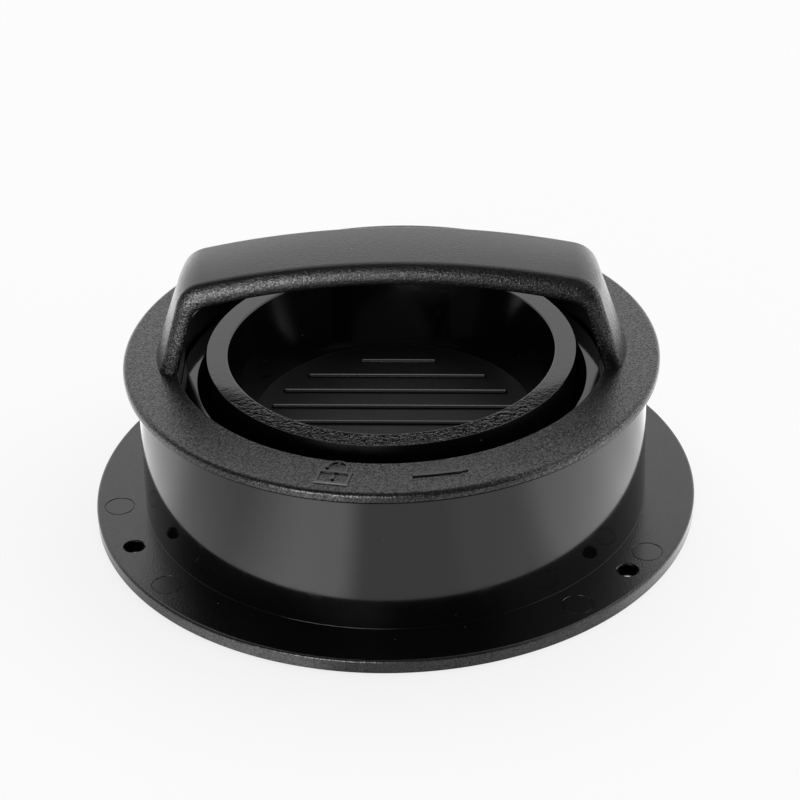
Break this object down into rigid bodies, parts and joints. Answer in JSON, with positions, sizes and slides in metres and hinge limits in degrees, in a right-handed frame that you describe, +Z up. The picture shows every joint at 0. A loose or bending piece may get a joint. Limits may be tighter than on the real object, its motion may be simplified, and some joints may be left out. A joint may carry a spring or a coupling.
{
  "type": "burger press",
  "caption": "Round patty press: flanged base mould with lift-out plate, and a ring-handled press head whose large press and central press twist apart.",
  "frame": {"origin": "on the turning axis, at the underside of the base flange", "axes": "+Z up along the turning axis, +X along the handle arch, -Y towards the side with the raised twist mark"},
  "size_m": [0.155, 0.155, 0.0734],
  "materials": {
    "base": "black moulding, polished wall and finely textured flange",
    "plate": "polished black moulding",
    "press": "polished black moulding",
    "handle": "black moulding with a fine spark-eroded texture",
    "centre": "polished black moulding with a satin ribbed floor"
  },
  "bodies": {
    "base": {"base_mould": "base"},
    "plate": {"base_plate": "plate"},
    "large_press": {"outer_press": "press"},
    "handle": {"handle_ring": "handle"},
    "small_press": {"centre_press": "centre"}
  },
  "joints": [
    {"name": "plate_lift", "type": "slide", "parent": "base", "child": "plate", "axis": [0, 0, 1], "range_m": [0, 0.045]},
    {"name": "press_lift", "type": "slide", "parent": "plate", "child": "large_press", "axis": [0, 0, 1], "range_m": [0, 0.06]},
    {"name": "handle_twist", "type": "hinge", "parent": "large_press", "child": "handle", "pos_m": [0, 0, 0.0415], "axis": [0, 0, 1], "range_deg": [0, 35]},
    {"name": "centre_twist", "type": "hinge", "parent": "handle", "child": "small_press", "pos_m": [0, 0, 0.0369], "axis": [0, 0, 1], "range_deg": [-35, 2]}
  ]
}
